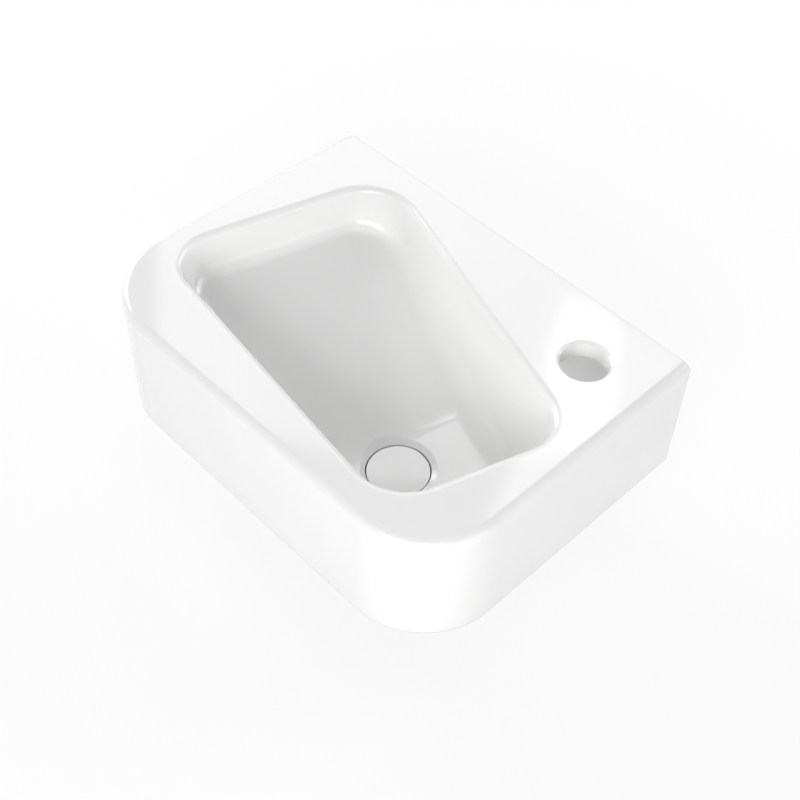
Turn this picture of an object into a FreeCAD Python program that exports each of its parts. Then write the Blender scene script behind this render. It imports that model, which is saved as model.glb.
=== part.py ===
import FreeCAD, Part
import math
import os
import re
import Sketcher
from FreeCAD import Placement, Rotation, Vector

# A compact ceramic hand basin for the corner of a room, with its push-open waste.
# Row frame: +X to the right along the rear wall, +Y into that wall, +Z up.
# Origin: the middle of the two wall fixing holes, on the rear face of the casting.
# All lengths are in millimetres and all angles in degrees.

# Driving dimensions, one line each: alias and value.
SIZES = (
    # the ceramic casting, outside
    ("basin_width", 340.0),
    ("basin_depth", 250.0),
    ("basin_height", 100.0),
    ("front_corner_radius", 62.0),
    ("edge_radius", 7.0),
    ("left_edge_end_radius", 2.0),
    # walls of the casting
    ("skirt_wall", 10.0),
    ("rear_wall", 12.0),
    ("deck_thickness", 14.0),
    ("bowl_wall", 9.0),
    ("underside_corner_radius", 14.0),
    ("underside_chamfer", 8.0),
    # wall fixing
    ("fixing_drop", 40.0),
    ("fixing_spacing", 280.0),
    ("fixing_hole_diameter", 14.0),
    # tap hole, measured from the right side and from the rear
    ("tap_hole_diameter", 35.0),
    ("tap_hole_from_right", 52.3),
    ("tap_hole_from_rear", 49.0),
    ("tap_hole_chamfer", 1.8),
    # bowl opening: where the sides of its outline meet, from the nearest outer faces
    ("front_left_from_left", 9.4),
    ("front_left_from_front", 58.6),
    ("rear_left_from_left", 59.8),
    ("rear_left_from_rear", 13.9),
    ("rear_right_from_right", 18.2),
    ("rear_right_from_rear", 102.0),
    ("front_right_from_right", 57.6),
    ("front_right_from_front", 22.3),
    ("front_left_radius", 31.0),
    ("rear_left_radius", 40.0),
    ("rear_right_radius", 30.0),
    ("front_right_radius", 38.0),
    ("bowl_draft", 8.0),
    ("rim_radius", 6.0),
    ("floor_fillet", 14.0),
    # bowl floor: a slope from the left end down to a level part round the drain
    ("floor_start_depth", 30.0),
    ("floor_depth", 74.5),
    ("floor_bend_radius", 100.0),
    ("floor_bend_from_drain", 28.3),
    # drain
    ("drain_from_right", 112.2),
    ("drain_from_front", 86.8),
    ("dish_slope", 20.0),
    ("dish_depth", 1.5),
    ("dish_edge_radius", 5.0),
    ("recess_depth", 10.0),
    ("drain_hole_diameter", 42.7),
    ("boss_diameter", 72.0),
    ("boss_drop", 12.0),
    # waste cover and the plug under it
    ("cover_diameter", 44.8),
    ("cover_gap", 0.9),
    ("cover_thickness", 4.2),
    ("cover_edge_radius", 1.6),
    ("pad_diameter", 30.0),
    ("pad_thickness", 0.8),
    ("carrier_head_diameter", 33.0),
    ("carrier_head_thickness", 2.2),
    ("plug_seal_diameter", 36.4),
    ("plug_seal_bore", 27.0),
    ("plug_seal_height", 3.0),
    ("carrier_lip_diameter", 29.0),
    ("carrier_lip_thickness", 1.2),
    ("carrier_boss_diameter", 15.0),
    ("carrier_boss_length", 7.5),
    ("plug_travel", 8.0),
    ("push_stroke", 2.0),
    # rod, nut and cartridge
    ("rod_thread_diameter", 8.0),
    ("rod_shank_diameter", 6.0),
    ("rod_engagement", 9.0),
    ("locknut_across_flats", 13.0),
    ("locknut_height", 4.0),
    ("cap_diameter", 19.0),
    ("cap_thickness", 3.2),
    ("wiper_diameter", 10.0),
    ("wiper_thickness", 1.5),
    ("sleeve_diameter", 19.0),
    ("spigot_diameter", 16.6),
    ("chamber_diameter", 13.8),
    ("sleeve_floor", 2.0),
    ("guide_rib_width", 1.7),
    ("guide_rib_height", 1.3),
    ("guide_rib_length", 17.1),
    ("cam_diameter", 10.8),
    ("cam_height", 6.0),
    ("crown_tooth", 1.2),
    ("lug_reach", 1.2),
    ("rotor_height", 7.0),
    ("rotor_rib_height", 3.6),
    ("index_turn", 45.0),
    ("spring_diameter", 10.6),
    ("spring_wire", 0.9),
    ("spring_length", 14.0),
    # outlet and what clamps it
    ("flange_diameter", 45.6),
    ("flange_thickness", 2.6),
    ("flange_seal_thickness", 1.2),
    ("tail_diameter", 41.9),
    ("tail_bore", 37.2),
    ("tail_length", 66.0),
    ("thread_groove_drop", 1.6),
    ("thread_groove_width", 3.0),
    ("thread_groove_depth", 0.9),
    ("seat_bore", 32.0),
    ("seat_thickness", 2.2),
    ("hub_diameter", 21.0),
    ("hub_height", 9.0),
    ("cross_thickness", 2.4),
    ("underside_seal_diameter", 62.0),
    ("underside_seal_foot_diameter", 56.0),
    ("underside_seal_thickness", 4.0),
    ("thrust_washer_diameter", 57.0),
    ("thrust_washer_thickness", 1.5),
    ("backnut_across_flats", 52.0),
    ("backnut_height", 9.0),
    # clearances
    ("thread_clearance", 0.05),
    ("loose_clearance", 0.3),
    ("running_clearance", 0.08),
    ("seat_gap", 0.3),
)

DERIVED = (
    ("left", "-basin_width / 2"),
    ("right", "basin_width / 2"),
    ("front", "-basin_depth"),
    ("rim_level", "fixing_drop"),
    ("foot_level", "fixing_drop - basin_height"),
    ("floor_level", "rim_level - floor_depth"),
    ("start_level", "rim_level - floor_start_depth"),
    ("cover_level", "floor_level - dish_depth"),
    ("recess_level", "cover_level - recess_depth"),
    ("boss_level", "recess_level - boss_drop"),
    ("tap_x", "right - tap_hole_from_right"),
    ("drain_x", "right - drain_from_right"),
    ("drain_y", "front + drain_from_front"),
    ("front_left_x", "left + front_left_from_left"),
    ("front_left_y", "front + front_left_from_front"),
    ("rear_left_x", "left + rear_left_from_left"),
    ("rear_left_y", "-rear_left_from_rear"),
    ("rear_right_x", "right - rear_right_from_right"),
    ("rear_right_y", "-rear_right_from_rear"),
    ("front_right_x", "right - front_right_from_right"),
    ("front_right_y", "front + front_right_from_front"),
    ("bowl_turn", "atan((rear_left_x - front_left_x) / (rear_left_y - front_left_y)) / 1 deg"),
    ("drain_run", "(drain_x - front_left_x) * cos(bowl_turn * 1 deg)"
                  " - (drain_y - front_left_y) * sin(bowl_turn * 1 deg)"),
    ("slope_run", "drain_run - floor_bend_from_drain"),
    ("floor_slope", "atan((floor_depth - floor_start_depth) / slope_run) / 1 deg"),
    ("recess_radius", "cover_diameter / 2 + cover_gap"),
    ("dish_reach", "dish_depth * 3 / tan(dish_slope * 1 deg)"),
    ("cover_foot", "cover_level - cover_thickness"),
    ("pad_foot", "cover_foot - pad_thickness"),
    ("head_foot", "pad_foot - carrier_head_thickness"),
    ("seat_level", "head_foot - plug_seal_height"),
    ("lip_foot", "seat_level - carrier_lip_thickness"),
    ("carrier_foot", "lip_foot - carrier_boss_length"),
    ("locknut_foot", "carrier_foot - locknut_height"),
    ("cap_top", "locknut_foot - push_stroke - seat_gap"),
    ("sleeve_top", "cap_top - cap_thickness"),
    ("cam_top", "sleeve_top - plug_travel - seat_gap"),
    ("cam_foot", "cam_top - cam_height"),
    ("guide_foot", "sleeve_top - guide_rib_length"),
    ("rotor_top", "cam_foot - seat_gap"),
    ("rotor_foot", "rotor_top - rotor_height"),
    ("chamber_foot", "rotor_foot - spring_length"),
    ("sleeve_foot", "chamber_foot - sleeve_floor"),
    ("flange_foot", "recess_level + flange_seal_thickness"),
    ("flange_top", "flange_foot + flange_thickness"),
    ("tail_foot", "flange_top - tail_length"),
    ("hub_top", "rotor_foot"),
    ("hub_foot", "hub_top - hub_height"),
    ("underside_seal_foot", "boss_level - underside_seal_thickness"),
    ("thrust_foot", "underside_seal_foot - thrust_washer_thickness"),
    ("backnut_foot", "thrust_foot - backnut_height"),
    ("groove_top", "backnut_foot - thread_groove_drop"),
    ("groove_foot", "groove_top - thread_groove_width"),
    ("guide_bore", "chamber_diameter - 2 * guide_rib_height"),
    ("guide_rise", "guide_rib_width * plug_travel / (index_turn * 1 deg / 1 rad * guide_bore / 2)"),
)

SPRING_TURNS = 6
SPRING_STEPS = 14  # straight lengths in each turn

doc = FreeCAD.newDocument("corner_basin")


def make_sheet(name, rows, as_formula):
    """Fill one sheet with alias and value rows."""
    sheet = doc.addObject("Spreadsheet::Sheet", name)
    for row, (alias, content) in enumerate(rows, start=1):
        sheet.set(f"A{row}", alias)
        sheet.set(f"B{row}", "=" + with_sheets(content) if as_formula else str(content))
        sheet.setAlias(f"B{row}", alias)
        if as_formula:
            KNOWN[alias] = name
            doc.recompute()
    doc.recompute()
    return sheet


KNOWN = {alias: "Sizes" for alias, _ in SIZES}


def with_sheets(text):
    """Put the sheet's name before every alias in a formula."""
    return re.sub(r"[a-z_]+", lambda word: f"{KNOWN[word.group()]}.{word.group()}"
                  if word.group() in KNOWN else word.group(), text)


sizes = make_sheet("Sizes", SIZES, False)
derived = make_sheet("Derived", DERIVED, True)


def number(alias):
    """The present value of a size or derived level."""
    return float((sizes if KNOWN[alias] == "Sizes" else derived).get(alias))


def bind(item, **formulas):
    """Tie properties of an object to formulas of the sheets' values."""
    for name, text in formulas.items():
        item.setExpression(name, with_sheets(text))


def plane(body, role):
    """One of a body's own origin planes."""
    return next(feature for feature in body.Origin.OriginFeatures if feature.Role == role)


def new_body(name):
    return doc.addObject("PartDesign::Body", name)


def new_sketch(body, name, role, level="0"):
    """A sketch on one of the body's origin planes, lifted to a level."""
    sketch = body.newObject("Sketcher::SketchObject", name)
    sketch.AttachmentSupport = (plane(body, role), [""])
    sketch.MapMode = "FlatFace"
    sketch.setExpression("AttachmentOffset.Base.z", with_sheets(level))
    return sketch


def draw_outline(sketch, corners):
    """A closed outline of straight sides whose corners are formulas (across, up)."""
    count = len(corners)
    angles = [2 * math.pi * index / count for index in range(count)]
    points = [Vector(10 * math.cos(angle), 10 * math.sin(angle), 0) for angle in angles]
    for index in range(count):
        sketch.addGeometry(Part.LineSegment(points[index], points[(index + 1) % count]), False)
    for index, (across, up) in enumerate(corners):
        point = points[index]
        sketch.addConstraint(Sketcher.Constraint("Coincident", (index - 1) % count, 2, index, 1))
        for kind, formula, start in (("DistanceX", across, point.x), ("DistanceY", up, point.y)):
            row = sketch.addConstraint(Sketcher.Constraint(kind, -1, 1, index, 1, start))
            sketch.setExpression(f"Constraints[{row}]", with_sheets(formula))


def pad(body, sketch, name, **formulas):
    feature = body.newObject("PartDesign::Pad", name)
    feature.Profile = sketch
    bind(feature, **formulas)
    return feature


def edge_names(shape, wanted):
    """The names of the edges that pass a test."""
    return [f"Edge{row}" for row, edge in enumerate(shape.Edges, start=1) if wanted(edge)]


def face_names(shape, wanted):
    """The names of the faces that pass a test."""
    return [f"Face{row}" for row, face in enumerate(shape.Faces, start=1) if wanted(face)]


def round_edges(body, base, name, radius, wanted):
    """A fillet in a body on the edges of its last feature that pass a test."""
    doc.recompute()
    feature = body.newObject("PartDesign::Fillet", name)
    feature.Base = (base, edge_names(base.Shape, wanted))
    bind(feature, Radius=radius)
    doc.recompute()
    return feature


def stands_at(x, y):
    """A test for the upright or leaning edge that passes through a corner in plan."""
    def wanted(edge):
        ends = [vertex.Point for vertex in edge.Vertexes]
        if len(ends) != 2 or abs(ends[0].z - ends[1].z) < 1:
            return False
        return any(math.hypot(end.x - x, end.y - y) < 0.01 for end in ends)
    return wanted


def make_block(name, inset, rear_inset, foot, top, radii, top_chamfer=None):
    """A box with rounded upright corners (front, rear left, rear right) and a chamfered top."""
    body = new_body(name)
    sketch = new_sketch(body, f"{name}_plan", "XY_Plane", foot)
    west, east = f"left + {inset}", f"right - {inset}"
    south, north = f"front + {inset}", f"-{rear_inset}"
    draw_outline(sketch, ((west, south), (east, south), (east, north), (west, north)))
    feature = pad(body, sketch, f"{name}_pad", Length=f"{top} - ({foot})")
    doc.recompute()
    box = feature.Shape.BoundBox
    front_corners = ((box.XMin, box.YMin), (box.XMax, box.YMin))
    corners = (front_corners, ((box.XMin, box.YMax),), ((box.XMax, box.YMax),))
    for label, radius, places in zip(("front", "rear_left", "rear_right"), radii, corners):
        tests = [stands_at(*spot) for spot in places]
        feature = round_edges(body, feature, f"{name}_{label}", radius,
                              lambda edge: any(test(edge) for test in tests))
    if top_chamfer:
        level = feature.Shape.BoundBox.ZMax
        top_edges = edge_names(feature.Shape, lambda edge: on_level(edge, level))
        chamfer = body.newObject("PartDesign::Chamfer", f"{name}_top")
        chamfer.Base = (feature, top_edges)
        bind(chamfer, Size=top_chamfer)
    return body


def make_bowl_walls():
    """The four leaning walls of the bowl's hollow, with rounded corners, deeper than the floor."""
    body = new_body("bowl_walls")
    plan = new_sketch(body, "bowl_plan", "XY_Plane", "rim_level")
    corners = ("front_left", "front_right", "rear_right", "rear_left")
    draw_outline(plan, [(f"{corner}_x", f"{corner}_y") for corner in corners])
    straight = pad(body, plan, "bowl_prism", Length="basin_height")
    straight.Reversed = True
    doc.recompute()
    lean = body.newObject("PartDesign::Draft", "bowl_lean")
    lean.Base = (straight, face_names(straight.Shape, lambda face: abs(face.normalAt(0, 0).z) < 0.5))
    lean.NeutralPlane = (straight, face_names(straight.Shape, lambda face: face.normalAt(0, 0).z > 0.5))
    bind(lean, Angle="bowl_draft")
    lean.Reversed = True
    doc.recompute()
    feature = lean
    for corner in corners:
        feature = round_edges(body, feature, f"bowl_{corner}", f"{corner}_radius",
                              stands_at(number(f"{corner}_x"), number(f"{corner}_y")))
    return body


def make_floor_block(name, drop):
    """What lies under the bowl's floor: a slope, a bend and a level part, square to the left wall."""
    body = new_body(name)
    profile = new_sketch(body, f"{name}_profile", "XZ_Plane", "-front_left_y")
    profile.AttachmentOffset = Placement(Vector(), Rotation(Vector(0, 1, 0), 1))
    bind(profile, **{"AttachmentOffset.Rotation.Angle": "-bowl_turn",
                     "AttachmentOffset.Base.x": "front_left_x", "AttachmentOffset.Base.z": "-front_left_y"})
    reach, under = "basin_width", "foot_level - basin_height"
    draw_outline(profile, (
        ("0", f"start_level - {drop}"),
        ("slope_run", f"floor_level - {drop}"),
        (reach, f"floor_level - {drop}"),
        (reach, under),
        (f"-{reach}", under),
        (f"-{reach}", f"start_level - {drop} + {reach} * tan(floor_slope * 1 deg)"),
    ))
    block = pad(body, profile, f"{name}_pad", Length="2 * (basin_width + basin_depth)")
    block.SideType = "Symmetric"
    doc.recompute()
    level = number("floor_level") - (number(drop) if drop in KNOWN else float(drop))

    def is_bend(edge):
        faces = block.Shape.ancestorsOfType(edge, Part.Face)
        return on_level(edge, level) and all(face.normalAt(0, 0).z > 0.5 for face in faces)

    round_edges(body, block, f"{name}_bend", "floor_bend_radius", is_bend)
    return body


def part(kind, name, **formulas):
    """A Part primitive or operation tied to the sheets."""
    item = doc.addObject(f"Part::{kind}", name)
    for prop, formula in formulas.items():
        item.setExpression(prop.replace("__", "."), with_sheets(formula))
    return item


def place(item, x, y, z):
    for axis, formula in (("x", x), ("y", y), ("z", z)):
        item.setExpression(f"Placement.Base.{axis}", with_sheets(formula))
    return item


def join(kind, name, base, tool):
    item = doc.addObject(f"Part::{kind}", name)
    item.Base = base
    item.Tool = tool
    doc.recompute()
    return item


def on_level(edge, level):
    return all(abs(vertex.Z - level) < 0.01 for vertex in edge.Vertexes)


def top_edge_radii(edge):
    """The radii an upper edge of the casting gets at its two ends; the rear edge stays sharp."""
    if not on_level(edge, number("rim_level")):
        return None
    left, right, front = number("left"), number("right"), number("front")
    spots = [vertex.Point for vertex in edge.Vertexes]
    if all(min(spot.x - left, right - spot.x, spot.y - front, -spot.y) > 0.01 for spot in spots):
        return ("rim_radius", "rim_radius")
    if all(abs(spot.y) < 0.01 for spot in spots):
        return None
    if all(abs(spot.x - left) < 0.01 for spot in spots):
        return ["left_edge_end_radius" if abs(spot.y) < 0.01 else "edge_radius" for spot in spots]
    return ("edge_radius", "edge_radius")


def fillet(casting, name, radii_of):
    """A Part fillet on every edge for which a rule names the radii of its two ends."""
    rounded = doc.addObject("Part::Fillet", name)
    rounded.Base = casting
    chosen = [(row, radii_of(edge)) for row, edge in enumerate(casting.Shape.Edges, start=1)]
    rounded.Edges = [(row, number(radii[0]), number(radii[1])) for row, radii in chosen if radii]
    doc.recompute()
    return rounded


def is_circle(edge, radius, x, y, level=None):
    """Whether an edge lies on a level circle round an upright axis."""
    if edge.Curve.TypeId != "Part::GeomCircle" or abs(edge.Curve.Radius - radius) > 0.01:
        return False
    centre = edge.Curve.Center
    return math.hypot(centre.x - x, centre.y - y) < 0.01 and (level is None or abs(centre.z - level) < 0.01)


def make_bowl_hollow(walls):
    """The space inside the bowl, rounded where floor and walls meet."""
    hollow = join("Cut", "bowl_hollow", walls, make_floor_block("floor_block", "0"))
    return fillet(hollow, "bowl_rounded",
                  lambda edge: is_floor_edge(hollow.Shape, edge) and ("floor_fillet", "floor_fillet"))


def make_bowl_outside(walls):
    """The bowl's outer skin, one wall thickness out, with the boss round the drain."""
    outer_walls = part("Offset", "bowl_outer_walls", Value="bowl_wall")
    outer_walls.Source = walls
    doc.recompute()
    shell = join("Cut", "bowl_shell", outer_walls, make_floor_block("shell_floor_block", "bowl_wall"))
    boss = part("Cylinder", "drain_boss", Radius="boss_diameter / 2", Height="floor_level - boss_level")
    place(boss, "drain_x", "drain_y", "boss_level")
    return join("Fuse", "bowl_outside", shell, boss)


def make_basin():
    """The one-piece casting: block, hollow underside, bowl, drain, tap hole, wall holes."""
    block = make_block("casting_block", "0", "0", "foot_level", "rim_level", ("front_corner_radius",))
    room_radii = ("front_corner_radius - skirt_wall", "underside_corner_radius", "underside_corner_radius")
    room = make_block("underside_room", "skirt_wall", "rear_wall", "foot_level - basin_height",
                      "rim_level - deck_thickness", room_radii, "underside_chamfer")
    walls = make_bowl_walls()
    free_room = join("Cut", "free_room", room, make_bowl_outside(walls))
    casting = join("Cut", "casting_hollow", block, free_room)
    casting = join("Cut", "casting_open", casting, make_bowl_hollow(walls))
    casting = fillet(casting, "casting_rounded", top_edge_radii)
    casting = cut_drain(casting)
    casting = cut_holes(casting)
    casting.Label = "basin"
    return casting


def cut_drain(casting):
    """The shallow dish round the drain, the recess for the cover and the outlet hole."""
    dish = part("Cone", "drain_dish", Radius1="recess_radius", Radius2="recess_radius + dish_reach",
                Height="dish_depth * 3")
    place(dish, "drain_x", "drain_y", "cover_level")
    dished = join("Cut", "casting_dished", casting, dish)
    casting = fillet(dished, "dish_rounded",
                     lambda edge: is_dish_edge(dished.Shape, edge) and ("dish_edge_radius", "dish_edge_radius"))
    recess = part("Cylinder", "cover_recess", Radius="recess_radius", Height="recess_depth")
    place(recess, "drain_x", "drain_y", "recess_level")
    casting = join("Cut", "casting_recessed", casting, recess)
    outlet = part("Cylinder", "drain_hole", Radius="drain_hole_diameter / 2",
                  Height="recess_level - boss_level")
    place(outlet, "drain_x", "drain_y", "boss_level")
    return join("Cut", "casting_drained", casting, outlet)


def cut_holes(casting):
    """The tap hole with its softened mouth and the two wall fixing holes."""
    tap_hole = part("Cylinder", "tap_hole", Radius="tap_hole_diameter / 2", Height="deck_thickness")
    place(tap_hole, "tap_x", "-tap_hole_from_rear", "rim_level - deck_thickness")
    casting = join("Cut", "casting_tapped", casting, tap_hole)
    mouth = part("Cone", "tap_hole_mouth", Radius1="tap_hole_diameter / 2",
                 Radius2="tap_hole_diameter / 2 + tap_hole_chamfer", Height="tap_hole_chamfer")
    place(mouth, "tap_x", "-tap_hole_from_rear", "rim_level - tap_hole_chamfer")
    casting = join("Cut", "casting_tap_mouth", casting, mouth)
    for label, side in (("left", -1), ("right", 1)):
        hole = part("Cylinder", f"fixing_hole_{label}", Radius="fixing_hole_diameter / 2", Height="rear_wall")
        hole.Placement = Placement(Vector(), Rotation(Vector(1, 0, 0), 90))
        place(hole, f"{side} * fixing_spacing / 2", "0", "0")
        casting = join("Cut", f"casting_drilled_{label}", casting, hole)
    return casting


def is_floor_edge(shape, edge):
    """Whether an edge lies between the bowl's floor and one of its walls."""
    slopes = []
    for face in shape.ancestorsOfType(edge, Part.Face):
        middle = face.Surface.parameter(face.CenterOfMass)
        slopes.append(face.normalAt(*middle).z < -0.9)
    return sorted(slopes) == [False, True]


def is_dish_edge(shape, edge):
    """Whether an edge lies between the drain dish and the bowl floor."""
    axis = (number("drain_x"), number("drain_y"))
    cones = 0
    for face in shape.ancestorsOfType(edge, Part.Face):
        if isinstance(face.Surface, Part.Cone):
            centre = face.Surface.Center
            cones += math.hypot(centre.x - axis[0], centre.y - axis[1]) < 0.01
    return cones == 1 and not is_circle(edge, number("recess_radius"), *axis)


def turned(name, outline):
    """A body turned about its upright axis from an outline of (radius, level) corners."""
    body = new_body(name)
    turn(body, f"{name}_turning", "Revolution", outline)
    return body


def turn(body, name, kind, outline):
    """Add (Revolution) or take away (Groove) a turned form round a body's upright axis."""
    sketch = new_sketch(body, f"{name}_outline", "XZ_Plane")
    draw_outline(sketch, outline)
    feature = body.newObject(f"PartDesign::{kind}", name)
    feature.Profile = sketch
    feature.ReferenceAxis = (sketch, ["V_Axis"])
    feature.Angle = 360
    doc.recompute()


def at_drain(body):
    """Put a body's upright axis on the drain."""
    place(body, "drain_x", "drain_y", "0")
    return body


def ring(name, bore, outside, foot, top):
    """A plain ring between two diameters and two levels."""
    inner, outer = f"({bore}) / 2", f"({outside}) / 2"
    return turned(name, ((inner, foot), (outer, foot), (outer, top), (inner, top)))


def spread(body, feature, name, count, angle="360"):
    """Repeat a feature round the body's upright axis."""
    pattern = body.newObject("PartDesign::PolarPattern", name)
    pattern.Originals = [feature]
    pattern.Axis = (plane(body, "Z_Axis"), [""])
    pattern.Angle = float(angle)
    pattern.Occurrences = count
    body.Tip = pattern
    doc.recompute()
    return pattern


def hexagon(name, across_flats, foot, height, bore):
    """A hexagon nut with a plain bore; the corners of its lower end are turned off."""
    body = new_body(name)
    sketch = new_sketch(body, f"{name}_plan", "XY_Plane", foot)
    corner = f"{across_flats} / 2 / cos(30 deg)"
    draw_outline(sketch, [(f"{corner} * cos({60 * turn} deg)", f"{corner} * sin({60 * turn} deg)")
                          for turn in range(6)])
    pad(body, sketch, f"{name}_pad", Length=height)
    doc.recompute()
    flat, past = f"{across_flats} / 2", f"{across_flats} * 0.65"
    turn(body, f"{name}_corners", "Groove", (
        (flat, foot), (past, foot), (past, f"{foot} + ({past} - {flat}) * tan(30 deg)")))
    turn(body, f"{name}_bore", "Groove", (
        ("0", foot), (f"({bore}) / 2", foot), (f"({bore}) / 2", f"{foot} + {height}"),
        ("0", f"{foot} + {height}")))
    return body


def make_cover():
    """The white ceramic disc that lies flush over the waste, with a softened upper edge."""
    edge, radius = "cover_edge_radius", "cover_diameter / 2"
    return turned("plug_cover", (
        ("0", "cover_foot"), (radius, "cover_foot"), (radius, f"cover_level - {edge}"),
        (f"{radius} - {edge} * (1 - cos(30 deg))", f"cover_level - {edge} * (1 - sin(30 deg))"),
        (f"{radius} - {edge} * (1 - cos(60 deg))", f"cover_level - {edge} * (1 - sin(60 deg))"),
        (f"{radius} - {edge}", "cover_level"), ("0", "cover_level")))


def ring_disc(name, diameter, foot, top):
    """A plain disc between two levels."""
    return turned(name, (("0", foot), (f"{diameter} / 2", foot), (f"{diameter} / 2", top), ("0", top)))


def make_carrier():
    """The brass mushroom under the cover: head, neck for the seal, lip and threaded boss."""
    head, neck = "carrier_head_diameter / 2", "plug_seal_bore / 2"
    lip, boss = "carrier_lip_diameter / 2", "carrier_boss_diameter / 2"
    bore = "rod_thread_diameter / 2 + thread_clearance"
    socket = "carrier_foot + rod_engagement"
    return turned("plug_carrier", (
        ("0", "pad_foot"), (head, "pad_foot"), (head, "head_foot"), (neck, "head_foot"), (neck, "seat_level"),
        (lip, "seat_level"), (lip, "lip_foot"), (boss, "lip_foot"), (boss, "carrier_foot"),
        (bore, "carrier_foot"), (bore, socket), ("0", socket)))


def make_rod():
    """The rod: a threaded head in carrier and locknut, and a slimmer shank down into the cam."""
    head, shank = "rod_thread_diameter / 2", "rod_shank_diameter / 2"
    top = "carrier_foot + rod_engagement"
    return turned("plunger_rod", (
        ("0", "cam_foot + crown_tooth"), (shank, "cam_foot + crown_tooth"), (shank, "locknut_foot"),
        (head, "locknut_foot"), (head, top), ("0", top)))


def make_cap():
    """The cartridge's top cap, with a pocket for the wiper ring."""
    outside, wiper = "cap_diameter / 2", "wiper_diameter / 2 + thread_clearance"
    bore = "rod_shank_diameter / 2 + running_clearance"
    return turned("cartridge_cap", (
        (bore, "sleeve_top"), (outside, "sleeve_top"), (outside, "cap_top"), (wiper, "cap_top"),
        (wiper, "cap_top - wiper_thickness"), (bore, "cap_top - wiper_thickness")))


def rib_pad(body, name, outline, inside, reach):
    """A rib drawn as its side outline (across, level) and padded outwards from a radius."""
    sketch = new_sketch(body, f"{name}_outline", "YZ_Plane", inside)
    draw_outline(sketch, outline)
    rib = pad(body, sketch, name, Length=reach)
    doc.recompute()
    return rib


def make_sleeve():
    """The cartridge's housing: shoulder on the hub, spigot through it, and guide ribs inside."""
    outside, spigot = "sleeve_diameter / 2", "spigot_diameter / 2 - thread_clearance"
    chamber = "chamber_diameter / 2"
    body = turned("cartridge_sleeve", (
        ("0", "sleeve_foot"), (spigot, "sleeve_foot"), (spigot, "hub_top"), (outside, "hub_top"),
        (outside, "sleeve_top"), (chamber, "sleeve_top"), (chamber, "chamber_foot"), ("0", "chamber_foot")))
    half = "guide_rib_width / 2"
    rib = rib_pad(body, "guide_rib", (
        (f"-{half}", "guide_foot"), (half, "guide_foot + guide_rise"),
        (half, "sleeve_top"), (f"-{half}", "sleeve_top")),
        "guide_bore / 2", "(chamber_diameter + sleeve_diameter) / 4 - guide_bore / 2")
    spread(body, rib, "guide_ribs", 4)
    return body


def make_cam():
    """The push cam on the rod: lugs between the guide ribs, crown teeth below."""
    core, bore = "cam_diameter / 2", "rod_shank_diameter / 2 + thread_clearance"
    body = turned("push_cam", (
        (bore, "cam_foot"), (core, "cam_foot"), (core, "cam_top"), (bore, "cam_top")))
    crown(body, "cam", "cam_foot", "")
    lug = rib_pad(body, "lug", (
        ("-guide_rib_width", "cam_foot + crown_tooth"), ("guide_rib_width", "cam_foot + crown_tooth"),
        ("guide_rib_width", "cam_top"), ("-guide_rib_width", "cam_top")),
        "rod_shank_diameter / 2 + 1", "cam_diameter / 2 + lug_reach - rod_shank_diameter / 2 - 1")
    spread(body, lug, "lugs", 4)
    body.Placement = Placement(Vector(), Rotation(Vector(0, 0, 1), 45))
    return body


def crown(body, name, level, way):
    """Eight crown teeth on an end of a body, cut by four notches right across it."""
    sketch = new_sketch(body, f"{name}_notch_outline", "XZ_Plane")
    draw_outline(sketch, (
        ("-crown_tooth", level), ("crown_tooth", level), ("0", f"{level} + {way}crown_tooth")))
    notch = body.newObject("PartDesign::Pocket", f"{name}_notch")
    notch.Profile = sketch
    notch.SideType = "Symmetric"
    bind(notch, Length="2 * cam_diameter")
    doc.recompute()
    return spread(body, notch, f"{name}_crown", 4, "135")


def make_rotor():
    """The index rotor: crown teeth on top, four sloping ribs that rest under the guide ribs."""
    core, bore = "cam_diameter / 2", "rod_shank_diameter / 2 - 1"
    body = turned("index_rotor", (
        (bore, "rotor_foot"), (core, "rotor_foot"), (core, "rotor_top"), (bore, "rotor_top")))
    crown(body, "rotor", "rotor_top", "-")
    half, rib_top = "guide_rib_width / 2", "guide_foot - seat_gap / cos(60 deg)"
    rib = rib_pad(body, "rotor_rib", (
        (f"-{half}", f"{rib_top} - rotor_rib_height"), (half, f"{rib_top} - rotor_rib_height"),
        (half, f"{rib_top} + guide_rise"), (f"-{half}", rib_top)),
        "rod_shank_diameter / 2 + 1", "cam_diameter / 2 + lug_reach - rod_shank_diameter / 2 - 1")
    spread(body, rib, "rotor_ribs", 4)
    return body


def spring_path(turn):
    """Height above the first coil after a number of turns: closed end coils, open ones between."""
    open_turns = SPRING_TURNS - 2
    closed = number("spring_wire") + number("seat_gap") / 3
    length = number("spring_length") - number("spring_wire") - 2 * number("thread_clearance")
    opened = (length - 2 * closed) / open_turns
    if turn < 1:
        return closed * turn
    if turn < 1 + open_turns:
        return closed + opened * (turn - 1)
    return closed + opened * open_turns + closed * (turn - 1 - open_turns)


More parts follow.
